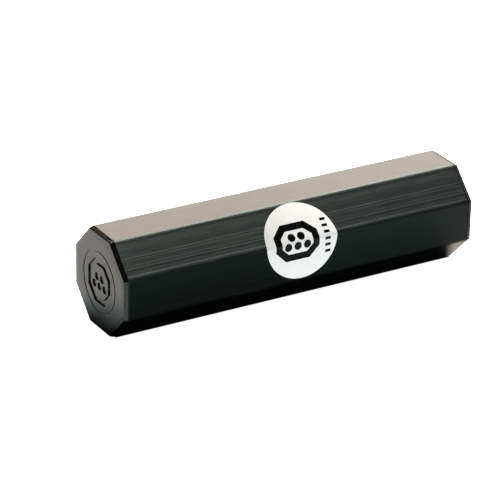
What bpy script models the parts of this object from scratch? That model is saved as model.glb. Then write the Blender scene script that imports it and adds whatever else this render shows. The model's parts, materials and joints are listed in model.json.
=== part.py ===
"""Octagonal aluminium tube shaker: a capped metal tube with loose steel shot along its floor.

Metres, +Z up. X runs along the tube, the label is on the -Y side, and the origin is under the
middle of the tube, on the surface that its lowest flat rests on.
"""

import math

import bmesh
import bpy
from mathutils import Vector

# Driving dimensions
LENGTH = 0.148
ACROSS_FLATS = 0.038
WALL = 0.002
EDGE_RADIUS = 0.002
BORE_CORNER_RADIUS = 0.0003
TUBE_END_CHAMFER = 0.00015
ARC_STEPS = 4

# End caps: a plate over the tube's end with a hollow spigot inside the bore
CAP_PLATE = 0.0016
CAP_SEAT_GAP = 0.0002
CAP_INSET = 0.00015
CAP_CORNER_RADIUS = 0.0008
CAP_EDGE_RADIUS = 0.00025
RIM_TAPER = 0.00038
CROWN_WIDTH = 0.0016
CROWN_DROP = 0.0001
SPIGOT_LENGTH = 0.009
SPIGOT_CLEARANCE = 0.00015
SPIGOT_WALL = 0.0014
SPIGOT_LEAD_IN = 0.0005

# Sunk emblem on each cap: a ring around a small octagon that holds five dots
EMBLEM_DEPTH = 0.0006
EMBLEM_RING_RADIUS = 0.0119
EMBLEM_LINE = 0.0007
EMBLEM_OCTAGON = 0.0170
EMBLEM_OCTAGON_LINE = 0.0021
DOT_RADIUS = 0.0015
DOT_PITCH = 0.0038

# Round label, folded over the edge between the front flat and the slope above it
LABEL_RADIUS = 0.0149
LABEL_SHIFT_X = -0.0007
LABEL_SHIFT_UP = 0.0003
LABEL_THICKNESS = 0.00012
LABEL_GLUE_GAP = 0.00004
LABEL_POINTS = 64

# Steel shot: three rows of balls on the bore's floor
BALL_DIAMETER = 0.005
BALL_PITCH = 0.0053
BALLS_PER_ROW = 18
ROW_PITCH = 0.0054
BALL_LIFT = 0.0001
ROW_NAMES = ("front", "middle", "back")

# Sizes that follow from the ones above
APOTHEM = ACROSS_FLATS / 2
BORE_ACROSS_FLATS = ACROSS_FLATS - 2 * WALL
TUBE_LENGTH = LENGTH - 2 * (CAP_PLATE + CAP_SEAT_GAP)
CAP_ACROSS_FLATS = ACROSS_FLATS - 2 * CAP_INSET
SPIGOT_ACROSS_FLATS = BORE_ACROSS_FLATS - 2 * SPIGOT_CLEARANCE
EIGHTH_TURN = math.pi / 4


def clear_scene():
    for obj in list(bpy.data.objects):
        bpy.data.objects.remove(obj, do_unlink=True)


def principled(name, colour, roughness, metallic):
    material = bpy.data.materials.new(name)
    material.use_nodes = True
    shader = material.node_tree.nodes["Principled BSDF"]
    shader.inputs["Base Color"].default_value = (*colour, 1.0)
    shader.inputs["Roughness"].default_value = roughness
    shader.inputs["Metallic"].default_value = metallic
    material.diffuse_color = (*colour, 1.0)
    return material


def add_object(name, mesh, material, location, parent=None, turn_z=0.0):
    obj = bpy.data.objects.new(name, mesh)
    bpy.context.scene.collection.objects.link(obj)
    if not mesh.materials:
        mesh.materials.append(material)
    obj.location = location
    obj.rotation_euler = (0.0, 0.0, turn_z)
    obj.parent = parent
    return obj


def finish_mesh(bm, name, smooth_below=math.radians(30)):
    bmesh.ops.recalc_face_normals(bm, faces=bm.faces)
    mesh = bpy.data.meshes.new(name)
    bm.to_mesh(mesh)
    bm.free()
    mesh.shade_smooth()
    mesh.set_sharp_from_angle(angle=smooth_below)
    return mesh


def octagon(x, across_flats, corner_radius):
    """Points of an octagon across the tube at x: flats at top and bottom, every corner an arc."""
    centre_distance = (across_flats / 2 - corner_radius) / math.cos(EIGHTH_TURN / 2)
    points = []
    for corner in range(8):
        towards = (corner + 0.5) * EIGHTH_TURN
        for step in range(ARC_STEPS + 1):
            angle = (corner + step / ARC_STEPS) * EIGHTH_TURN
            y = centre_distance * math.cos(towards) + corner_radius * math.cos(angle)
            z = centre_distance * math.sin(towards) + corner_radius * math.sin(angle)
            points.append(Vector((x, y, z)))
    return points


def join_loops(bm, first, second):
    count = len(first)
    for i in range(count):
        after = (i + 1) % count
        bm.faces.new((first[i], first[after], second[after], second[i]))


def loft(sections, closed):
    """A mesh through the sections: round into a ring when closed, with a face on each end if not."""
    bm = bmesh.new()
    loops = [[bm.verts.new(point) for point in section] for section in sections]
    for first, second in zip(loops, loops[1:]):
        join_loops(bm, first, second)
    if closed:
        join_loops(bm, loops[-1], loops[0])
    else:
        bm.faces.new(loops[0])
        bm.faces.new(loops[-1])
    return bm


def tube_mesh():
    end = TUBE_LENGTH / 2
    chamfer = TUBE_END_CHAMFER
    sections = [
        octagon(-end, ACROSS_FLATS - 2 * chamfer, EDGE_RADIUS),
        octagon(-end + chamfer, ACROSS_FLATS, EDGE_RADIUS),
        octagon(end - chamfer, ACROSS_FLATS, EDGE_RADIUS),
        octagon(end, ACROSS_FLATS - 2 * chamfer, EDGE_RADIUS),
        octagon(end, BORE_ACROSS_FLATS + 2 * chamfer, BORE_CORNER_RADIUS),
        octagon(end - chamfer, BORE_ACROSS_FLATS, BORE_CORNER_RADIUS),
        octagon(-end + chamfer, BORE_ACROSS_FLATS, BORE_CORNER_RADIUS),
        octagon(-end, BORE_ACROSS_FLATS + 2 * chamfer, BORE_CORNER_RADIUS),
    ]
    return finish_mesh(loft(sections, closed=True), "tube_body")


def cap_mesh():
    """A cap that faces +X, from the middle of its outer face round to the floor of its spigot."""
    face = LENGTH / 2
    seat = face - CAP_PLATE
    tip = seat - SPIGOT_LENGTH
    radius = CAP_EDGE_RADIUS
    edge_x = face - CROWN_DROP
    face_across = CAP_ACROSS_FLATS - 2 * RIM_TAPER
    flat = face_across - 2 * (radius + CROWN_WIDTH)
    hollow = SPIGOT_ACROSS_FLATS - 2 * SPIGOT_WALL
    sections = [octagon(face, flat, CAP_CORNER_RADIUS)]
    for step in range(ARC_STEPS + 1):
        angle = step / ARC_STEPS * math.pi / 2
        x = edge_x - radius + radius * math.cos(angle)
        across = face_across - 2 * radius * (1 - math.sin(angle))
        sections.append(octagon(x, across, CAP_CORNER_RADIUS))
    sections += [
        octagon(seat, CAP_ACROSS_FLATS, CAP_CORNER_RADIUS),
        octagon(seat, SPIGOT_ACROSS_FLATS, CAP_CORNER_RADIUS),
        octagon(tip + SPIGOT_LEAD_IN, SPIGOT_ACROSS_FLATS, CAP_CORNER_RADIUS),
        octagon(tip, SPIGOT_ACROSS_FLATS - SPIGOT_LEAD_IN, CAP_CORNER_RADIUS),
        octagon(tip, hollow, CAP_CORNER_RADIUS),
        octagon(seat, hollow, CAP_CORNER_RADIUS),
    ]
    return finish_mesh(loft(sections, closed=False), "end_cap")


def circle_points(y, z, radius, count):
    turns = [2 * math.pi * i / count for i in range(count)]
    return [(y + radius * math.cos(turn), z + radius * math.sin(turn)) for turn in turns]


def octagon_points(across_flats):
    radius = across_flats / 2 / math.cos(EIGHTH_TURN / 2)
    turns = [(i + 0.5) * EIGHTH_TURN for i in range(8)]
    return [(radius * math.cos(turn), radius * math.sin(turn)) for turn in turns]


def cutter_loop(bm, points, x):
    return [bm.verts.new((x, y, z)) for y, z in points]


def add_cutter_post(bm, points, low_x, high_x):
    low = cutter_loop(bm, points, low_x)
    high = cutter_loop(bm, points, high_x)
    join_loops(bm, low, high)
    bm.faces.new(low)
    bm.faces.new(high)


def add_cutter_ring(bm, outer, inner, low_x, high_x):
    loops = [
        cutter_loop(bm, outer, low_x),
        cutter_loop(bm, outer, high_x),
        cutter_loop(bm, inner, high_x),
        cutter_loop(bm, inner, low_x),
    ]
    for i, loop in enumerate(loops):
        join_loops(bm, loop, loops[(i + 1) % len(loops)])


def dot_centres():
    """Three dots in a line, and two in the hollows above them."""
    half_rise = DOT_PITCH * math.sqrt(3) / 4
    centres = [(step * DOT_PITCH, -half_rise) for step in (-1, 0, 1)]
    return centres + [(step * DOT_PITCH, half_rise) for step in (-0.5, 0.5)]


def emblem_cutter_mesh():
    low = LENGTH / 2 - EMBLEM_DEPTH
    high = LENGTH / 2 + EMBLEM_DEPTH
    bm = bmesh.new()
    outer = circle_points(0, 0, EMBLEM_RING_RADIUS + EMBLEM_LINE / 2, 48)
    inner = circle_points(0, 0, EMBLEM_RING_RADIUS - EMBLEM_LINE / 2, 48)
    add_cutter_ring(bm, outer, inner, low, high)
    hollow = octagon_points(EMBLEM_OCTAGON - 2 * EMBLEM_OCTAGON_LINE)
    add_cutter_ring(bm, octagon_points(EMBLEM_OCTAGON), hollow, low, high)
    for y, z in dot_centres():
        add_cutter_post(bm, circle_points(y, z, DOT_RADIUS, 16), low, high)
    return finish_mesh(bm, "emblem_cutter")


def sink_emblem(cap, cutter_mesh, side):
    cutter = add_object("emblem_cutter_" + side, cutter_mesh, None, (0, 0, 0), parent=cap)
    cutter.hide_render = True
    cutter.display_type = "WIRE"
    cut = cap.modifiers.new("Emblem", "BOOLEAN")
    cut.operation = "DIFFERENCE"
    cut.solver = "EXACT"
    cut.object = cutter


def folded(x, along, height):
    """The place of a point of the flat label once it lies over the tube's edge.

    along is measured on the tube's skin from the middle of the rounded edge, upwards, and height
    is the distance out from that skin.
    """
    half_arc = EDGE_RADIUS * EIGHTH_TURN / 2
    centre_distance = (APOTHEM - EDGE_RADIUS) / math.cos(EIGHTH_TURN / 2)
    middle = math.pi - EIGHTH_TURN / 2
    around = max(-half_arc, min(half_arc, along))
    straight = along - around
    angle = middle - around / EDGE_RADIUS
    out = Vector((0, math.cos(angle), math.sin(angle)))
    onward = Vector((0, math.sin(angle), -math.cos(angle)))
    centre = Vector((x, centre_distance * math.cos(middle), centre_distance * math.sin(middle)))
    return centre + out * (EDGE_RADIUS + height) + onward * straight


def label_mesh():
    """A disc cut flat, creased along the edge, thickened and folded."""
    bm = bmesh.new()
    turns = [2 * math.pi * i / LABEL_POINTS for i in range(LABEL_POINTS)]
    rim = [(LABEL_RADIUS * math.cos(turn), LABEL_RADIUS * math.sin(turn)) for turn in turns]
    disc = [bm.verts.new((LABEL_SHIFT_X + u, LABEL_SHIFT_UP + v, 0)) for u, v in rim]
    bm.faces.new(disc)
    half_arc = EDGE_RADIUS * EIGHTH_TURN / 2
    for step in range(ARC_STEPS + 1):
        crease = half_arc * (2 * step / ARC_STEPS - 1)
        bmesh.ops.bisect_plane(
            bm,
            geom=bm.verts[:] + bm.edges[:] + bm.faces[:],
            plane_co=(0, crease, 0),
            plane_no=(0, 1, 0),
        )
    raised = bmesh.ops.extrude_face_region(bm, geom=bm.faces[:], use_keep_orig=True)
    for element in raised["geom"]:
        if isinstance(element, bmesh.types.BMVert):
            element.co.z = LABEL_THICKNESS
    for vert in bm.verts:
        vert.co = folded(vert.co.x, vert.co.y, LABEL_GLUE_GAP + vert.co.z)
    return finish_mesh(bm, "label")


def ball_mesh():
    bm = bmesh.new()
    bmesh.ops.create_icosphere(bm, subdivisions=2, radius=BALL_DIAMETER / 2)
    return finish_mesh(bm, "shot_ball", smooth_below=math.pi)


def add_empty(name, location, parent=None):
    empty = bpy.data.objects.new(name, None)
    bpy.context.scene.collection.objects.link(empty)
    empty.location = location
    empty.parent = parent
    return empty


def build_shot(steel):
    """Three rows on the bore's floor. Every second ball of a row can hop, and the row can slide."""
    mesh = ball_mesh()
    floor = WALL + BALL_LIFT + BALL_DIAMETER / 2
    for row, row_name in enumerate(ROW_NAMES):
        y = (row - 1) * ROW_PITCH
        slide = add_empty(row_name + "_row_slide", (0, y, floor))
        hop = add_empty(row_name + "_row_hop", (0, 0, 0), parent=slide)
        for i in range(BALLS_PER_ROW):
            x = (i - (BALLS_PER_ROW - 1) / 2) * BALL_PITCH
            holder = hop if i % 2 else slide
            add_object(f"shot_{row_name}_{i + 1:02d}", mesh, steel, (x, 0, 0), parent=holder)


def build():
    anodised = principled("black_anodised_aluminium", (0.035, 0.040, 0.040), 0.35, 0.6)
    plastic = principled("black_moulded_plastic", (0.045, 0.045, 0.045), 0.45, 0.0)
    vinyl = principled("white_vinyl", (0.90, 0.89, 0.88), 0.35, 0.0)
    steel = principled("polished_steel", (0.62, 0.62, 0.62), 0.2, 1.0)
    axis_point = (0, 0, APOTHEM)
    add_object("tube_body", tube_mesh(), anodised, axis_point)
    add_object("label", label_mesh(), vinyl, axis_point)
    shared_cap = cap_mesh()
    shared_cutter = emblem_cutter_mesh()
    for side, turn in (("left", math.pi), ("right", 0.0)):
        cap = add_object("end_cap_" + side, shared_cap, plastic, axis_point, turn_z=turn)
        sink_emblem(cap, shared_cutter, side)
    build_shot(steel)


clear_scene()
build()
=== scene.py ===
"""Looks of the octagonal tube shaker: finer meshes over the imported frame, materials and studio.

Metres, +Z up. X runs along the tube, and the label is on the -Y side.
"""
import json
import math

import bmesh
import bpy
from mathutils import Matrix, Vector


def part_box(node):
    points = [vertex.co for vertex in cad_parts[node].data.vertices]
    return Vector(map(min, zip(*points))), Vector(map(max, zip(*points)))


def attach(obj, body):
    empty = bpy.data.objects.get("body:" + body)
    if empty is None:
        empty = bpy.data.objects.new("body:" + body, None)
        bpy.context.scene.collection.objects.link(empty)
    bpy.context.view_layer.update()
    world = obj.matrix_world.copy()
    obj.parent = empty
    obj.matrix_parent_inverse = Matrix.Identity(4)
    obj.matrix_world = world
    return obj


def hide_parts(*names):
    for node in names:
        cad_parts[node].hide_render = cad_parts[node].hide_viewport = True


MM = 0.001
MICRON = 0.000001
EIGHTH_TURN = math.pi / 4

# Sizes of the fine surface, which the frame's boxes don't give. First the tube
EDGE_RADIUS = 2.0 * MM
WALL = 2.0 * MM
TUBE_END_CHAMFER = 0.15 * MM
CORNER_STEPS = 8
FLAT_STEP = 0.1 * MM
EDGE_START_WEAR = 0.6
SMOOTH_BELOW = math.radians(30)

# The die's profile across a flat, in mm: (distance from the flat's middle, depth below the true flat).
# A raised bead runs along each edge, with a slightly sunk and scored panel between the beads.
DIE_PROFILE = (
    (-6.75, 0.000), (-6.35, 0.050), (-5.90, 0.056), (-3.40, 0.028), (-1.05, 0.064), (-0.55, 0.066),
    (-0.20, 0.030), (0.10, 0.058), (0.35, 0.062), (0.60, 0.040), (1.30, 0.046), (2.35, 0.066),
    (2.70, 0.044), (3.50, 0.052), (4.00, 0.016), (4.50, 0.060), (5.20, 0.062), (6.15, 0.058),
    (6.55, 0.000),
)
# How deep that profile is on each flat, from the one that faces +Y round past the top.
# Where it is negative the profile is turned round.
FLAT_LINES = (-0.5, 0.8, -0.25, 1.0, 0.3, 0.6, 0.5, -0.8)

# The caps
CAP_PLATE = 1.6 * MM
CAP_CORNER_RADIUS = 0.8 * MM
CAP_EDGE_RADIUS = 0.25 * MM
RIM_TAPER = 0.38 * MM
CROWN_WIDTH = 1.6 * MM
CROWN_DROP = 0.1 * MM
CROWN_STEP = 0.04 * MM
RIM_STEPS = 5
SPIGOT_WALL = 1.4 * MM
SPIGOT_ACROSS_FLATS = 33.7 * MM
SPIGOT_LEAD_IN = 0.5 * MM
EMBLEM_DEPTH = 0.6 * MM
EMBLEM_RING_DEPTH = 0.25 * MM
EMBLEM_RING_RADIUS = 11.9 * MM
EMBLEM_LINE = 0.7 * MM
EMBLEM_OCTAGON = 17.0 * MM
EMBLEM_OCTAGON_LINE = 2.1 * MM
EMBLEM_DOT_RADIUS = 1.5 * MM
EMBLEM_DOT_PITCH = 3.8 * MM
EMBLEM_STEP_RADIUS = 12.8 * MM
EMBLEM_STEP = 0.05 * MM
EMBLEM_BEVEL = 0.05 * MM
EMBLEM_BEVEL_FROM = math.radians(50)
BEVEL_STEPS = 2
ROUND_POINTS = 128
DOT_POINTS = 40

# The label and the ink on it
LABEL_RADIUS = 14.9 * MM
LABEL_CENTRE = Vector((-0.7 * MM, 0.3 * MM))
LABEL_LIFT = 0.01 * MM
LABEL_THICKNESS = 0.12 * MM
LABEL_POINTS = 144
LABEL_RIM = 0.03 * MM
LABEL_RIM_FROM = math.radians(60)
INK_THICKNESS = 0.012 * MM
MARK_SHIFT = -1.9 * MM
MARK_WIDTH = 18.4 * MM
MARK_HEIGHT = 14.4 * MM
MARK_LINE = 2.7 * MM
MARK_DOT_RADIUS = 1.55 * MM
MARK_DOT_PITCH = 4.0 * MM
SIDE_BARS = 6
SIDE_BAR_WIDTH = 2.3 * MM
SIDE_BAR_HEIGHT = 1.1 * MM
SIDE_BAR_PITCH = 2.5 * MM
SIDE_BARS_AT = 10.9 * MM

BALL_SUBDIVISIONS = 4

# The part of its range that a noise mostly stays in
NOISE_SPAN = (0.3, 0.7)
IOR = 1.5
# How deep the materials' fine relief is
ANODISED_GRAIN = 10 * MICRON
PLASTIC_GRAIN = 20 * MICRON
PLASTIC_PITS = 200 * MICRON
VINYL_GRAIN = 10 * MICRON
STEEL_SCUFF = 10 * MICRON
# The rims' pits fade out between these distances from the tube's middle, before the cap's face
PITS_END_AT = (73.6 * MM, 73.8 * MM)

ANODISED_DARK = (0.0012, 0.0020, 0.0018)
ANODISED_STREAK = (0.005, 0.008, 0.007)
ANODISED_SHEEN = (0.80, 1.0, 0.95)
BARE_ALUMINIUM = (0.16, 0.16, 0.155)
FLOOR_WHITE = (0.86, 0.86, 0.86)

# Light: (name, place, width, height, watts, colour), every softbox turned to AIM
AIM = Vector((0, 0, 0.02))
SOFTBOXES = (
    ("back_sweep", (0.60, 1.06, 0.86), 0.74, 1.6, 18.2, (1.0, 0.80, 0.70)),
    ("top_box", (0.5, 0.29, 0.92), 0.30, 0.95, 18.0, (1.0, 0.95, 0.91)),
    ("front_board", (0.0, -1.4, 0.15), 2.4, 0.7, 6.0, (1.0, 1.0, 1.0)),
    ("side_wall", (1.6, -0.3, 0.9), 0.7, 0.7, 1.2, (1.0, 1.0, 1.0)),
)
WORLD_STRENGTH = 0.03
FLOOR_SIZE = 40.0
CARD_HEIGHT = -0.5 * MM
BOUNCE_SIZE = 6.0
BOUNCE_HEIGHT = -1.0 * MM
BOUNCE_STRENGTH = 1.72
# Colours of the painted reflection of the table: behind, in front and in its painted shadow, and past
# the right end
CARD_BEHIND = (1.0, 0.98, 0.92)
CARD_FRONT = (0.85, 1.0, 0.96)
CARD_RIGHT = (1.0, 0.85, 0.78)
# How the painted reflection of the table brightens out of its painted shadow: (from this distance, to
# this one, to this strength or 1)
GLOW_BEHIND = (3 * MM, 32 * MM, 1.5)
GLOW_IN_FRONT = (18 * MM, 75 * MM, 0.32)
RISE_TO_RIGHT = (0.0, 100 * MM, 1.2)
GLOW_PAST_RIGHT_END = (70.2 * MM, 75.4 * MM, 2.5)
DIM_AT_FRONT_RIGHT = (22 * MM, 36 * MM, 0.9)
PAST_LEFT_END = (66 * MM, 76 * MM)
GLOW_AT_LEFT = (20 * MM, 35 * MM, 1.6)
FRONT_SIDE = (-4 * MM, 8 * MM)
CLOSE_BY = (12 * MM, 30 * MM)
FOOTPRINT_HALF_LENGTH = 70 * MM
FOOTPRINT_HALF_WIDTH = 8 * MM
# The painted contact shadow, a dark line on the floor, fades out between each pair of distances from
# the middle
PAINTED_SHADOW_HALF_WIDTH = (8.1 * MM, 8.6 * MM)
PAINTED_SHADOW_HALF_LENGTH = (71.5 * MM, 72.2 * MM)

# The camera's place and the directions that are right and up in its picture
CAMERA_PLACE = Vector((-0.5249, -0.8597, 0.4836))
CAMERA_RIGHT = Vector((0.8623, -0.5061, 0.0164))
CAMERA_UP = Vector((0.2006, 0.3713, 0.9066))
CAMERA_LENS = 216.5
SENSOR_WIDTH = 36.0
CLIP_END = 100.0


def octagon(x, across_flats, corner_radius, axis_height):
    """Points of an octagon across the tube at x: flats at top and bottom, every corner an arc."""
    centre_distance = (across_flats / 2 - corner_radius) / math.cos(EIGHTH_TURN / 2)
    points = []
    for corner in range(8):
        towards = (corner + 0.5) * EIGHTH_TURN
        for step in range(CORNER_STEPS + 1):
            angle = (corner + step / CORNER_STEPS) * EIGHTH_TURN
            y = centre_distance * math.cos(towards) + corner_radius * math.cos(angle)
            z = centre_distance * math.sin(towards) + corner_radius * math.sin(angle)
            points.append(Vector((x, y, axis_height + z)))
    return points


def join_loops(bm, first, second):
    """Four-sided faces between two rings of the same number of vertices."""
    count = len(first)
    for i in range(count):
        after = (i + 1) % count
        bm.faces.new((first[i], first[after], second[after], second[i]))


def loft(sections, closed):
    """A mesh through the sections: round into a ring when closed, with a face on each end if not."""
    bm = bmesh.new()
    loops = [[bm.verts.new(point) for point in section] for section in sections]
    for first, second in zip(loops, loops[1:]):
        join_loops(bm, first, second)
    if closed:
        join_loops(bm, loops[-1], loops[0])
    else:
        bm.faces.new(loops[0])
        bm.faces.new(loops[-1])
    return bm


def finish_mesh(bm, name, sharp_from=SMOOTH_BELOW):
    """The mesh, shaded smooth apart from edges that bend by more than sharp_from."""
    bmesh.ops.recalc_face_normals(bm, faces=bm.faces)
    mesh = bpy.data.meshes.new(name)
    bm.to_mesh(mesh)
    bm.free()
    mesh.shade_smooth()
    mesh.set_sharp_from_angle(angle=sharp_from)
    return mesh


def add_piece(name, mesh, material, body, slot, *nodes):
    """A piece that rides a body and replaces the CAD nodes that are given; slot is not used."""
    piece = bpy.data.objects.new(name, mesh)
    bpy.context.scene.collection.objects.link(piece)
    piece.data.materials.clear()
    piece.data.materials.append(material)
    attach(piece, body)
    if nodes:
        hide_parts(*nodes)
    return piece


# Tube

def die_depth(along, strength):
    """How far the skin lies inside the true flat at this distance from the flat's middle."""
    place = along / MM * (1 if strength > 0 else -1)
    for (start, first), (end, second) in zip(DIE_PROFILE, DIE_PROFILE[1:]):
        if start <= place <= end:
            share = (place - start) / (end - start)
            return abs(strength) * MM * (first + share * (second - first))
    return 0.0


def tube_outline(apothem):
    """(y, z, wear) round the tube's skin, with the die's lines on each flat.

    wear is 0 on the flats, 1 on a rounded edge, and EDGE_START_WEAR where the edge starts and ends.
    """
    half_flat = (apothem - EDGE_RADIUS) * math.tan(EIGHTH_TURN / 2)
    steps = int(2 * half_flat / FLAT_STEP)
    centre_distance = (apothem - EDGE_RADIUS) / math.cos(EIGHTH_TURN / 2)
    points = []
    for side in range(8):
        turn = side * EIGHTH_TURN
        out_y, out_z = math.cos(turn), math.sin(turn)
        for step in range(steps):
            along = half_flat * (2 * (step + 0.5) / steps - 1)
            reach = apothem - die_depth(along, FLAT_LINES[side])
            points.append((reach * out_y - along * out_z, reach * out_z + along * out_y, 0.0))
        towards = turn + EIGHTH_TURN / 2
        for step in range(CORNER_STEPS + 1):
            angle = turn + step / CORNER_STEPS * EIGHTH_TURN
            y = centre_distance * math.cos(towards) + EDGE_RADIUS * math.cos(angle)
            z = centre_distance * math.sin(towards) + EDGE_RADIUS * math.sin(angle)
            edge = 1.0 if 0 < step < CORNER_STEPS else EDGE_START_WEAR
            points.append((y, z, edge))
    return points


def tube_mesh(low, high, apothem, axis_height):
    """The tube from X low to high, open at both ends, with a bore and slightly broken end edges."""
    outline = tube_outline(apothem)
    bore_scale = (apothem - WALL) / apothem
    chamfer = TUBE_END_CHAMFER
    shrink = 1 - chamfer / apothem
    rings = (
        (low, shrink),
        (low + chamfer, 1.0),
        (high - chamfer, 1.0),
        (high, shrink),
        (high, bore_scale + 1 - shrink),
        (high - chamfer, bore_scale),
        (low + chamfer, bore_scale),
        (low, bore_scale + 1 - shrink),
    )
    sections = []
    for x, scale in rings:
        sections.append([Vector((x, scale * y, axis_height + scale * z)) for y, z, _ in outline])
    bm = loft(sections, closed=True)
    mesh = finish_mesh(bm, "tube_body_fine")
    wear = mesh.attributes.new("wear", "FLOAT", "POINT")
    for i in range(len(mesh.vertices)):
        wear.data[i].value = outline[i % len(outline)][2]
    return mesh


# Caps

def cap_mesh(inner_x, face_x, apothem, axis_height):
    """A cap that faces +X if face_x is the larger, and -X if not."""
    out = 1 if face_x > inner_x else -1
    across = 2 * apothem
    seat = face_x - out * CAP_PLATE
    top = across - 2 * RIM_TAPER
    radius = CAP_EDGE_RADIUS
    spigot = SPIGOT_ACROSS_FLATS
    hollow = spigot - 2 * SPIGOT_WALL
    sections = []

    def section(x, size):
        sections.append(octagon(x, size, CAP_CORNER_RADIUS, axis_height))

    panel = top - 2 * radius - 2 * CROWN_WIDTH
    section(face_x, panel)
    section(face_x - out * CROWN_STEP, panel + 2 * CROWN_STEP)
    for step in range(RIM_STEPS + 1):
        angle = step / RIM_STEPS * math.pi / 2
        x = face_x - out * (CROWN_DROP + radius * (1 - math.cos(angle)))
        section(x, top - 2 * radius * (1 - math.sin(angle)))
    section(seat, across)
    section(seat, spigot)
    section(inner_x + out * SPIGOT_LEAD_IN, spigot)
    section(inner_x, spigot - SPIGOT_LEAD_IN)
    section(inner_x, hollow)
    section(seat, hollow)
    return loft(sections, closed=False)


def circle(y, z, radius, count):
    """Points round a circle, as pairs. Caps take them as Y and Z, and the flat label as X and Y."""
    turns = [2 * math.pi * i / count for i in range(count)]
    return [(y + radius * math.cos(turn), z + radius * math.sin(turn)) for turn in turns]


def plain_octagon(y, z, across_flats, width=None):
    """An octagon, stretched along its first direction where width is given."""
    radius = across_flats / 2 / math.cos(EIGHTH_TURN / 2)
    extra = ((width or across_flats) - across_flats) / 2
    points = []
    for i in range(8):
        turn = (i + 0.5) * EIGHTH_TURN
        stretch = math.copysign(extra, math.cos(turn))
        points.append((y + radius * math.cos(turn) + stretch, z + radius * math.sin(turn)))
    return points


def dot_pile(pitch):
    """Three dots in a line, and two in the hollows above them."""
    half_rise = pitch * math.sqrt(3) / 4
    low = [(step * pitch, -half_rise) for step in (-1, 0, 1)]
    return low + [(step * pitch, half_rise) for step in (-0.5, 0.5)]


def cutter(name, outer, inner, low_x, high_x):
    """A closed post, or a closed ring where inner is given, that stands along X."""
    bm = bmesh.new()

    def loop(points, x):
        return [bm.verts.new((x, y, z)) for y, z in points]

    low, high = loop(outer, low_x), loop(outer, high_x)
    join_loops(bm, low, high)
    if inner:
        inner_high, inner_low = loop(inner, high_x), loop(inner, low_x)
        join_loops(bm, high, inner_high)
        join_loops(bm, inner_high, inner_low)
        join_loops(bm, inner_low, low)
    else:
        bm.faces.new(low)
        bm.faces.new(high)
    obj = bpy.data.objects.new(name, finish_mesh(bm, name))
    bpy.context.scene.collection.objects.link(obj)
    return obj


def emblem_cutters(face_x, out, axis_height):
    """The shapes of the sunk emblem: a shallow step, a ring, and an octagon that holds five dots."""
    low = face_x - out * EMBLEM_DEPTH
    shallow = face_x - out * EMBLEM_STEP
    ring_floor = face_x - out * EMBLEM_RING_DEPTH
    high = face_x + out * EMBLEM_DEPTH
    z = axis_height
    step = circle(0, z, EMBLEM_STEP_RADIUS, ROUND_POINTS)
    outer = circle(0, z, EMBLEM_RING_RADIUS + EMBLEM_LINE / 2, ROUND_POINTS)
    inner = circle(0, z, EMBLEM_RING_RADIUS - EMBLEM_LINE / 2, ROUND_POINTS)
    hollow = plain_octagon(0, z, EMBLEM_OCTAGON - 2 * EMBLEM_OCTAGON_LINE)
    cutters = [
        cutter("cut_step", step, None, shallow, high),
        cutter("cut_ring", outer, inner, ring_floor, high),
        cutter("cut_octagon", plain_octagon(0, z, EMBLEM_OCTAGON), hollow, low, high),
    ]
    for y, dot_z in dot_pile(EMBLEM_DOT_PITCH):
        dot = circle(y, z + dot_z, EMBLEM_DOT_RADIUS, DOT_POINTS)
        cutters.append(cutter("cut_dot", dot, None, low, high))
    return cutters


def sink(mesh, cutters):
    """The mesh with the cutters' shapes sunk into it and the new edges slightly rounded."""
    holder = bpy.data.objects.new("sinking", mesh)
    bpy.context.scene.collection.objects.link(holder)
    for tool in cutters:
        cut = holder.modifiers.new("Cut", "BOOLEAN")
        cut.operation = "DIFFERENCE"
        cut.solver = "EXACT"
        cut.object = tool
    bevel = holder.modifiers.new("Soften", "BEVEL")
    bevel.width = EMBLEM_BEVEL
    bevel.segments = BEVEL_STEPS
    bevel.limit_method = "ANGLE"
    bevel.angle_limit = EMBLEM_BEVEL_FROM
    bevel.use_clamp_overlap = True
    flatten = holder.modifiers.new("Flatten", "WEIGHTED_NORMAL")
    flatten.mode = "FACE_AREA"
    flatten.weight = 100
    graph = bpy.context.evaluated_depsgraph_get()
    result = bpy.data.meshes.new_from_object(holder.evaluated_get(graph))
    for obj in [holder] + cutters:
        bpy.data.objects.remove(obj, do_unlink=True)
    return result


# Label

def folded(x, along, height, apothem, axis_height):
    """The place of a point of the flat label over the tube's edge. along is upwards from that edge."""
    half_arc = EDGE_RADIUS * EIGHTH_TURN / 2
    centre_distance = (apothem - EDGE_RADIUS) / math.cos(EIGHTH_TURN / 2)
    middle = math.pi - EIGHTH_TURN / 2
    around = max(-half_arc, min(half_arc, along))
    angle = middle - around / EDGE_RADIUS
    out = Vector((0, math.cos(angle), math.sin(angle)))
    onward = Vector((0, math.sin(angle), -math.cos(angle)))
    y = centre_distance * math.cos(middle)
    z = centre_distance * math.sin(middle) + axis_height
    return Vector((x, y, z)) + out * (EDGE_RADIUS + height) + onward * (along - around)


def fold_plate(bm, low, high, apothem, axis_height, soften=0.0):
    """Creases a flat sheet along the tube's edge, thickens it from low to high, and folds it."""
    half_arc = EDGE_RADIUS * EIGHTH_TURN / 2
    for step in range(CORNER_STEPS + 1):
        crease = half_arc * (2 * step / CORNER_STEPS - 1)
        bmesh.ops.bisect_plane(
            bm,
            geom=bm.verts[:] + bm.edges[:] + bm.faces[:],
            plane_co=(0, crease, 0),
            plane_no=(0, 1, 0),
        )
    raised = bmesh.ops.extrude_face_region(bm, geom=bm.faces[:], use_keep_orig=True)
    top = [item for item in raised["geom"] if isinstance(item, bmesh.types.BMVert)]
    for vert in top:
        vert.co.z = high - low
    if soften:
        crown = set(top)
        rim = [e for e in bm.edges if set(e.verts) <= crown and is_rim(e)]
        bmesh.ops.bevel(bm, geom=rim, offset=soften, segments=BEVEL_STEPS, affect="EDGES", profile=0.5)
    for vert in bm.verts:
        vert.co = folded(vert.co.x, vert.co.y, low + vert.co.z, apothem, axis_height)


def is_rim(edge):
    return len(edge.link_faces) == 2 and edge.calc_face_angle(0) > LABEL_RIM_FROM


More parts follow.
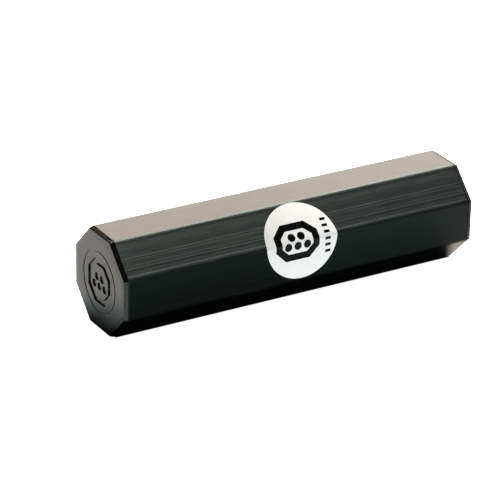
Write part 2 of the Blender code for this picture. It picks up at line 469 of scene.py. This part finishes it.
def label_mesh(apothem, axis_height):
    """The round label, folded over the tube's edge."""
    bm = bmesh.new()
    points = circle(LABEL_CENTRE.x, LABEL_CENTRE.y, LABEL_RADIUS, LABEL_POINTS)
    bm.faces.new([bm.verts.new((x, y, 0)) for x, y in points])
    high = LABEL_LIFT + LABEL_THICKNESS
    fold_plate(bm, LABEL_LIFT, high, apothem, axis_height, soften=LABEL_RIM)
    return finish_mesh(bm, "label_fine")


def ring_sheet(bm, outer, inner):
    """A flat ring between two outlines with the same number of points."""
    outside = [bm.verts.new((x, y, 0)) for x, y in outer]
    inside = [bm.verts.new((x, y, 0)) for x, y in inner]
    join_loops(bm, outside, inside)


def ink_mesh(apothem, axis_height):
    """The printed mark: an octagon that holds five dots, and a column of short bars beside it."""
    bm = bmesh.new()
    x, y = LABEL_CENTRE.x + MARK_SHIFT, LABEL_CENTRE.y
    inside_width = MARK_WIDTH - 2 * MARK_LINE
    inner = plain_octagon(x, y, MARK_HEIGHT - 2 * MARK_LINE, inside_width)
    ring_sheet(bm, plain_octagon(x, y, MARK_HEIGHT, MARK_WIDTH), inner)
    for dot_x, dot_y in dot_pile(MARK_DOT_PITCH):
        dot = circle(x + dot_x, y + dot_y, MARK_DOT_RADIUS, DOT_POINTS)
        bm.faces.new([bm.verts.new((u, v, 0)) for u, v in dot])
    bar_x = LABEL_CENTRE.x + SIDE_BARS_AT
    for i in range(SIDE_BARS):
        bar_y = y + (i - (SIDE_BARS - 1) / 2) * SIDE_BAR_PITCH
        corners = []
        for u, v in ((-1, -1), (1, -1), (1, 1), (-1, 1)):
            corner = (bar_x + u * SIDE_BAR_WIDTH / 2, bar_y + v * SIDE_BAR_HEIGHT / 2, 0)
            corners.append(bm.verts.new(corner))
        bm.faces.new(corners)
    low = LABEL_LIFT + LABEL_THICKNESS
    fold_plate(bm, low, low + INK_THICKNESS, apothem, axis_height)
    return finish_mesh(bm, "label_ink")


# Materials

class Nodes:
    """A material's node tree, with short calls for the nodes that these materials use."""

    def __init__(self, name, colour, roughness, metallic=0.0):
        self.material = bpy.data.materials.new(name)
        self.material.use_nodes = True
        self.tree = self.material.node_tree
        self.shader = self.tree.nodes["Principled BSDF"]
        self.shader.inputs["Base Color"].default_value = (*colour, 1)
        self.shader.inputs["Roughness"].default_value = roughness
        self.shader.inputs["Metallic"].default_value = metallic
        self.shader.inputs["IOR"].default_value = IOR
        self.place = self.tree.nodes.new("ShaderNodeTexCoord").outputs["Object"]

    def link(self, output, node, name):
        self.tree.links.new(output, node.inputs[name])

    def noise(self, scale, detail=2.0, roughness=0.5):
        """Noise with scale cells per metre along X, Y and Z."""
        mapping = self.tree.nodes.new("ShaderNodeMapping")
        mapping.inputs["Scale"].default_value = scale
        self.link(self.place, mapping, "Vector")
        noise = self.tree.nodes.new("ShaderNodeTexNoise")
        noise.inputs["Scale"].default_value = 1.0
        noise.inputs["Detail"].default_value = detail
        noise.inputs["Roughness"].default_value = roughness
        self.link(mapping.outputs["Vector"], noise, "Vector")
        return noise.outputs["Fac"]

    def ramp(self, value, low, high, to_low=0.0, to_high=1.0, kind="LINEAR"):
        """Rises, or falls, from to_low at low to to_high at high."""
        node = self.tree.nodes.new("ShaderNodeMapRange")
        node.interpolation_type = kind
        node.inputs["From Min"].default_value = low
        node.inputs["From Max"].default_value = high
        node.inputs["To Min"].default_value = to_low
        node.inputs["To Max"].default_value = to_high
        self.link(value, node, "Value")
        return node.outputs["Result"]

    def maths(self, operation, *values):
        """A sum whose values are numbers or outputs."""
        node = self.tree.nodes.new("ShaderNodeMath")
        node.operation = operation
        for i, value in enumerate(values):
            if isinstance(value, (int, float)):
                node.inputs[i].default_value = value
            else:
                self.tree.links.new(value, node.inputs[i])
        return node.outputs["Value"]

    def soft_step(self, value, low, high, top=1.0):
        """Rises smoothly from 0 at low to top at high."""
        return self.ramp(value, low, high, 0.0, top, "SMOOTHSTEP")

    def plan(self):
        """The X and Y of the place that is shaded."""
        split = self.tree.nodes.new("ShaderNodeSeparateXYZ")
        self.link(self.place, split, "Vector")
        return split.outputs["X"], split.outputs["Y"]

    def only_glow(self, colour, strength):
        """Puts a plain emission in place of the shader."""
        self.tree.nodes.remove(self.shader)
        emission = self.tree.nodes.new("ShaderNodeEmission")
        self.link(colour, emission, "Color")
        self.link(strength, emission, "Strength")
        self.link(emission.outputs["Emission"], self.tree.nodes["Material Output"], "Surface")

    def attribute(self, name):
        """A number that the mesh holds at its points."""
        node = self.tree.nodes.new("ShaderNodeAttribute")
        node.attribute_name = name
        return node.outputs["Fac"]

    def mix(self, factor, first, second):
        """A colour between two, each of them either a colour or an output."""
        node = self.tree.nodes.new("ShaderNodeMix")
        node.data_type = "RGBA"
        self.link(factor, node, "Factor")
        for name, value in (("A", first), ("B", second)):
            socket = next(s for s in node.inputs if s.name == name and s.type == "RGBA")
            if isinstance(value, tuple):
                socket.default_value = (*value, 1)
            else:
                self.tree.links.new(value, socket)
        return next(s for s in node.outputs if s.type == "RGBA")

    def bump(self, height, strength, distance, normal=None):
        """The normal that a height gives, on top of an earlier one where normal is given."""
        node = self.tree.nodes.new("ShaderNodeBump")
        node.inputs["Strength"].default_value = strength
        node.inputs["Distance"].default_value = distance
        self.link(height, node, "Height")
        if normal:
            self.link(normal, node, "Normal")
        return node.outputs["Normal"]

    def set(self, name, output):
        """Leads an output into the shader."""
        self.link(output, self.shader, name)


def anodised():
    """Black anodised aluminium. It was drawn along X, so it scatters light across that direction."""
    nodes = Nodes("black_anodised_aluminium", (0.004, 0.005, 0.0048), 0.3)
    nodes.shader.inputs["Anisotropic"].default_value = 0.75
    nodes.shader.inputs["Specular Tint"].default_value = (*ANODISED_SHEEN, 1)
    tangent = nodes.tree.nodes.new("ShaderNodeTangent")
    tangent.direction_type = "RADIAL"
    tangent.axis = "X"
    nodes.set("Tangent", tangent.outputs["Tangent"])
    fine = nodes.noise((18, 3600, 3600), detail=4, roughness=0.65)
    short = nodes.noise((160, 3000, 3000), detail=3)
    broad = nodes.noise((4, 700, 700), detail=2)
    cloud = nodes.noise((60, 90, 90), detail=4)
    fade = nodes.ramp(broad, *NOISE_SPAN, 0.4, 1.0)
    streak = nodes.maths("MULTIPLY", nodes.ramp(fine, *NOISE_SPAN), fade)
    colour = nodes.mix(streak, ANODISED_DARK, ANODISED_STREAK)
    rubbed = nodes.ramp(cloud, 0.5, 0.8, 0.0, 0.03)
    worn = nodes.maths("MULTIPLY", nodes.attribute("wear"), rubbed)
    nodes.set("Base Color", nodes.mix(worn, colour, BARE_ALUMINIUM))
    even = nodes.ramp(cloud, *NOISE_SPAN, 0.28, 0.31)
    rough = nodes.maths("ADD", even, nodes.ramp(fine, 0.25, 0.75, 0.0, 0.11))
    nodes.set("Roughness", nodes.maths("ADD", rough, nodes.ramp(short, 0.35, 0.65, -0.03, 0.03)))
    grain = nodes.bump(fine, 0.8, ANODISED_GRAIN)
    nodes.set("Normal", nodes.bump(short, 0.4, ANODISED_GRAIN, grain))
    return nodes.material


def moulded_plastic():
    """Black moulded plastic with a fine spark-eroded grain, and shallow pits on the caps' rims."""
    nodes = Nodes("black_moulded_plastic", (0.01, 0.01, 0.01), 0.35)
    grain = nodes.noise((9000, 9000, 9000), detail=3)
    cloud = nodes.noise((150, 150, 150), detail=3)
    colour = nodes.mix(nodes.ramp(cloud, *NOISE_SPAN), (0.003, 0.003, 0.003), (0.006, 0.006, 0.006))
    nodes.set("Base Color", colour)
    nodes.set("Roughness", nodes.ramp(cloud, 0.25, 0.75, 0.14, 0.22))
    x, _ = nodes.plan()
    rim = nodes.ramp(nodes.maths("ABSOLUTE", x), *PITS_END_AT, 1.0, 0.0)
    pits = nodes.maths("MULTIPLY", nodes.noise((1100, 1100, 1100), detail=3), rim)
    fine_grain = nodes.bump(grain, 0.15, PLASTIC_GRAIN)
    nodes.set("Normal", nodes.bump(pits, 0.6, PLASTIC_PITS, fine_grain))
    return nodes.material


def white_vinyl():
    """Semi-gloss white vinyl, very slightly uneven."""
    nodes = Nodes("white_vinyl", (0.82, 0.85, 0.84), 0.4)
    cloud = nodes.noise((220, 220, 220), detail=3)
    fibre = nodes.noise((6000, 6000, 6000), detail=2)
    colour = nodes.mix(nodes.ramp(cloud, *NOISE_SPAN), (0.80, 0.83, 0.82), (0.83, 0.86, 0.85))
    nodes.set("Base Color", colour)
    nodes.set("Roughness", nodes.ramp(cloud, *NOISE_SPAN, 0.36, 0.44))
    nodes.set("Normal", nodes.bump(fibre, 0.05, VINYL_GRAIN))
    return nodes.material


def printed_ink():
    """Black screen-printed ink."""
    nodes = Nodes("black_ink", (0.008, 0.008, 0.009), 0.35)
    cloud = nodes.noise((700, 700, 700), detail=3)
    colour = nodes.mix(nodes.ramp(cloud, *NOISE_SPAN), (0.002, 0.002, 0.002), (0.004, 0.004, 0.004))
    nodes.set("Base Color", colour)
    nodes.set("Roughness", nodes.ramp(cloud, *NOISE_SPAN, 0.10, 0.18))
    return nodes.material


def bright_steel():
    """Ground steel balls, with faint scuffs from rolling over each other."""
    nodes = Nodes("bright_steel", (0.60, 0.60, 0.61), 0.18, metallic=1.0)
    scuff = nodes.noise((2200, 2200, 2200), detail=4)
    colour = nodes.mix(nodes.ramp(scuff, 0.4, 0.7), (0.62, 0.62, 0.63), (0.50, 0.50, 0.50))
    nodes.set("Base Color", colour)
    nodes.set("Roughness", nodes.ramp(scuff, *NOISE_SPAN, 0.12, 0.28))
    nodes.set("Normal", nodes.bump(scuff, 0.1, STEEL_SCUFF))
    return nodes.material


# Studio

def stage_plane(name, size, height, material):
    """A level square plane for the studio, at the given height."""
    bm = bmesh.new()
    bmesh.ops.create_grid(bm, x_segments=1, y_segments=1, size=size / 2)
    mesh = bpy.data.meshes.new(name)
    bm.to_mesh(mesh)
    bm.free()
    mesh.materials.append(material)
    plane = bpy.data.objects.new(name, mesh)
    plane.location.z = height
    bpy.context.scene.collection.objects.link(plane)
    return plane


def floor_material():
    """White and glowing evenly, with a painted contact shadow: its colour and glow fall to black in a
    thin line where the object touches it.
    """
    nodes = Nodes("pale_floor", FLOOR_WHITE, 0.9)
    nodes.shader.inputs["Specular IOR Level"].default_value = 0.0
    nodes.shader.inputs["Emission Color"].default_value = (1, 1, 1, 1)
    x, y = nodes.plan()
    # Painted shade: colour and glow go black in a thin strip under the object.
    across = nodes.ramp(nodes.maths("ABSOLUTE", y), *PAINTED_SHADOW_HALF_WIDTH)
    along = nodes.ramp(nodes.maths("ABSOLUTE", x), *PAINTED_SHADOW_HALF_LENGTH)
    clear = nodes.maths("MAXIMUM", across, along)
    nodes.set("Emission Strength", clear)
    nodes.set("Base Color", nodes.mix(clear, (0.0, 0.0, 0.0), FLOOR_WHITE))
    return nodes.material


def distance_outside(nodes, x, y):
    """How far a place on the table lies outside the object's footprint."""
    squares = []
    for place, half in ((x, FOOTPRINT_HALF_LENGTH), (y, FOOTPRINT_HALF_WIDTH)):
        past = nodes.maths("SUBTRACT", nodes.maths("ABSOLUTE", place), half)
        squares.append(nodes.maths("POWER", nodes.maths("MAXIMUM", past, 0.0), 2.0))
    return nodes.maths("SQRT", nodes.maths("ADD", *squares))


def card_material():
    """A painted reflection of the table, which glows: a painted shadow leaves it dark close to the
    object, and it is bright well behind it.
    """
    nodes = Nodes("reflection_card", (0, 0, 0), 1.0)
    x, y = nodes.plan()
    to_front = nodes.maths("MULTIPLY", y, -1.0)
    to_left = nodes.maths("MULTIPLY", x, -1.0)
    # Painted reflection: dark near the object's footprint, where the object's shadow is painted in,
    # and brighter away from it.
    away = distance_outside(nodes, x, y)
    in_front = nodes.soft_step(to_front, *FRONT_SIDE)

    glow_behind = nodes.soft_step(away, *GLOW_BEHIND)
    behind = nodes.maths("MULTIPLY", glow_behind, nodes.maths("SUBTRACT", 1.0, in_front))

    glow_in_front = nodes.soft_step(away, *GLOW_IN_FRONT)
    rise_to_right = nodes.maths("ADD", 1.0, nodes.soft_step(x, *RISE_TO_RIGHT))
    front = nodes.maths("MULTIPLY", glow_in_front, rise_to_right)
    table = nodes.maths("ADD", behind, nodes.maths("MULTIPLY", front, in_front))

    glow_past_right_end = nodes.soft_step(x, *GLOW_PAST_RIGHT_END)
    dimmed = nodes.soft_step(to_front, *DIM_AT_FRONT_RIGHT)
    right = nodes.maths("MULTIPLY", glow_past_right_end, nodes.maths("SUBTRACT", 1.0, dimmed))

    past_left_end = nodes.soft_step(to_left, *PAST_LEFT_END)
    glow_at_left = nodes.soft_step(to_front, *GLOW_AT_LEFT)
    left = nodes.maths("MULTIPLY", past_left_end, glow_at_left)

    ends = nodes.maths("MAXIMUM", left, right)
    strength = nodes.maths("MAXIMUM", table, ends)
    # Painted shadow tint: close to the object the reflection takes the front's cooler colour.
    near_in_painted_shadow = nodes.maths("SUBTRACT", 1.0, nodes.soft_step(away, *CLOSE_BY))
    colour = nodes.mix(nodes.maths("MAXIMUM", in_front, near_in_painted_shadow), CARD_BEHIND, CARD_FRONT)
    colour = nodes.mix(nodes.maths("MINIMUM", right, 1.0), colour, CARD_RIGHT)
    nodes.only_glow(colour, strength)
    return nodes.material


def bounce_material():
    """White light that comes up from the table and shows in no reflection."""
    nodes = Nodes("floor_bounce", (0, 0, 0), 1.0)
    nodes.shader.inputs["Emission Color"].default_value = (1, 1, 1, 1)
    nodes.shader.inputs["Emission Strength"].default_value = BOUNCE_STRENGTH
    return nodes.material


def only_for(obj, *kinds):
    """Leaves the object visible to these kinds of ray and to no others."""
    for kind in ("camera", "diffuse", "glossy", "transmission", "volume_scatter", "shadow"):
        setattr(obj, "visible_" + kind, kind in kinds)


def softbox(name, place, width, height, power, colour):
    """An area light that faces AIM and doesn't show in the picture itself."""
    light = bpy.data.lights.new(name, "AREA")
    light.shape = "RECTANGLE"
    light.size = width
    light.size_y = height
    light.energy = power
    light.color = colour
    lamp = bpy.data.objects.new(name, light)
    lamp.location = place
    lamp.rotation_euler = (AIM - Vector(place)).to_track_quat("-Z", "Y").to_euler()
    lamp.visible_camera = False
    bpy.context.scene.collection.objects.link(lamp)
    return lamp


def build_studio():
    """One table in three planes, each seen by other rays: the floor with a painted contact shadow, a
    painted reflection of the table with the object's shadow painted in, and a glow for bounce light;
    then a faint world light and the lamps.
    """
    floor = stage_plane("floor", FLOOR_SIZE, 0.0, floor_material())
    only_for(floor, "camera", "shadow")
    # A painted reflection with a painted shadow in it, which only glossy rays see.
    card = stage_plane("reflection_card", FLOOR_SIZE, CARD_HEIGHT, card_material())
    only_for(card, "glossy")
    bounce = stage_plane("floor_bounce", BOUNCE_SIZE, BOUNCE_HEIGHT, bounce_material())
    only_for(bounce, "diffuse")
    world = bpy.data.worlds.new("studio")
    world.use_nodes = True
    background = world.node_tree.nodes["Background"]
    background.inputs["Color"].default_value = (1, 1, 1, 1)
    background.inputs["Strength"].default_value = WORLD_STRENGTH
    bpy.context.scene.world = world
    lamps = {row[0]: softbox(*row) for row in SOFTBOXES}
    lamps["front_board"].visible_glossy = False


def build_camera():
    """The camera, turned by CAMERA_RIGHT and CAMERA_UP after they are made square to each other."""
    data = bpy.data.cameras.new("camera")
    data.lens = CAMERA_LENS
    data.sensor_width = SENSOR_WIDTH
    data.clip_end = CLIP_END
    camera = bpy.data.objects.new("camera", data)
    back = CAMERA_RIGHT.cross(CAMERA_UP).normalized()
    up = back.cross(CAMERA_RIGHT).normalized()
    right = up.cross(back)
    turn = Matrix((right, up, back)).transposed()
    camera.matrix_world = Matrix.Translation(CAMERA_PLACE) @ turn.to_4x4()
    bpy.context.scene.collection.objects.link(camera)
    bpy.context.scene.camera = camera


def body_of(node):
    """The name of the body that holds a CAD node."""
    bodies = frame["record"]["behaviour"]["bodies"]
    return next(body for body, held in bodies.items() if node in held)


def build_object():
    """Every fine piece, made to the frame's boxes, riding its body and standing in for CAD nodes."""
    tube_low, tube_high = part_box("tube_body")
    apothem = (tube_high.z - tube_low.z) / 2
    axis_height = (tube_high.z + tube_low.z) / 2
    root = body_of("tube_body")
    mesh = tube_mesh(tube_low.x, tube_high.x, apothem, axis_height)
    add_piece("tube_fine", mesh, anodised(), root, "tube", "tube_body")
    plastic = moulded_plastic()
    for node in ("end_cap_left", "end_cap_right"):
        low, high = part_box(node)
        out = 1 if high.x > 0 else -1
        face_x, inner_x = (high.x, low.x) if out > 0 else (low.x, high.x)
        bm = cap_mesh(inner_x, face_x, (high.z - low.z) / 2, axis_height)
        plain = finish_mesh(bm, node + "_plain")
        sunk = sink(plain, emblem_cutters(face_x, out, axis_height))
        add_piece(node + "_fine", sunk, plastic, root, "cap", node)
    label = label_mesh(apothem, axis_height)
    add_piece("label_fine", label, white_vinyl(), root, "label", "label")
    ink = ink_mesh(apothem, axis_height)
    add_piece("label_ink", ink, printed_ink(), root, "label")
    build_shot()


def build_shot():
    """Round balls, which all share one mesh, in place of the frame's faceted ones."""
    steel = bright_steel()
    shot = sorted(name for name in frame["nodes"] if name.startswith("shot_"))
    low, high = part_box(shot[0])
    bm = bmesh.new()
    bmesh.ops.create_icosphere(bm, subdivisions=BALL_SUBDIVISIONS, radius=(high.z - low.z) / 2)
    ball = finish_mesh(bm, "ball_fine", sharp_from=math.pi)
    for name in shot:
        low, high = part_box(name)
        piece = bpy.data.objects.new(name + "_fine", ball)
        piece.location = (low + high) / 2
        bpy.context.scene.collection.objects.link(piece)
        if not ball.materials:
            ball.materials.append(steel)
        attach(piece, body_of(name))
        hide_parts(name)


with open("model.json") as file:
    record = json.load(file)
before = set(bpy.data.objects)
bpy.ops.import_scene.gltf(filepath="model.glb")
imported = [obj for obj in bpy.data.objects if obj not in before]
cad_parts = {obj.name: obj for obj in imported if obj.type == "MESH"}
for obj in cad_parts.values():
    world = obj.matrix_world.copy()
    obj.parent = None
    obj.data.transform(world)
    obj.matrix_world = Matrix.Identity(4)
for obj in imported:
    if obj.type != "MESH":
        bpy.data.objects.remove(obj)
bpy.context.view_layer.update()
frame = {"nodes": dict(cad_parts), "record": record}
build_object()
build_studio()
build_camera()
bpy.context.scene.view_settings.view_transform = "Standard"
